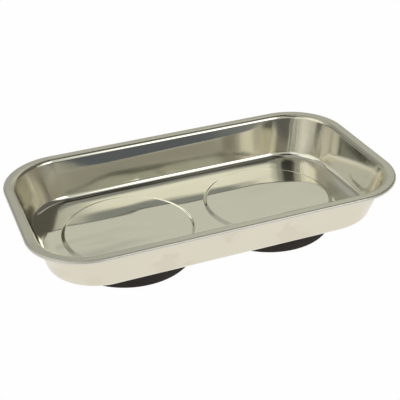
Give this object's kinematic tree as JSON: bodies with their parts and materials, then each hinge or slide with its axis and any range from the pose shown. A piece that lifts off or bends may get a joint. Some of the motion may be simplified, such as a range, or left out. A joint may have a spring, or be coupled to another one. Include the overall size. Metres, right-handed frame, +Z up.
{
  "type": "magnetic parts tray",
  "caption": "Shallow rectangular stainless steel dish with round corners and a rolled rim, on round rubber-covered magnet bases, for holding loose nuts, bolts and small tools.",
  "frame": {"origin": "middle of the tray in plan, on the plane that the rubber boots stand on", "axes": "+X along the tray, +Y across it, +Z up, out of the open side of the dish"},
  "size_m": [0.24, 0.136, 0.0442],
  "materials": {
    "stainless": "polished",
    "rubber": "matte",
    "ferrite": "matte",
    "zinc_steel": "satin"
  },
  "bodies": {
    "root": {"tray_pan": "stainless", "left_rubber_boot": "rubber", "left_ring_magnet": "ferrite", "left_yoke_plate": "zinc_steel", "left_weld_stud": "zinc_steel", "left_flat_washer": "zinc_steel", "left_spring_washer": "zinc_steel", "left_hex_nut": "zinc_steel", "right_rubber_boot": "rubber", "right_ring_magnet": "ferrite", "right_yoke_plate": "zinc_steel", "right_weld_stud": "zinc_steel", "right_flat_washer": "zinc_steel", "right_spring_washer": "zinc_steel", "right_hex_nut": "zinc_steel"}
  },
  "joints": []
}
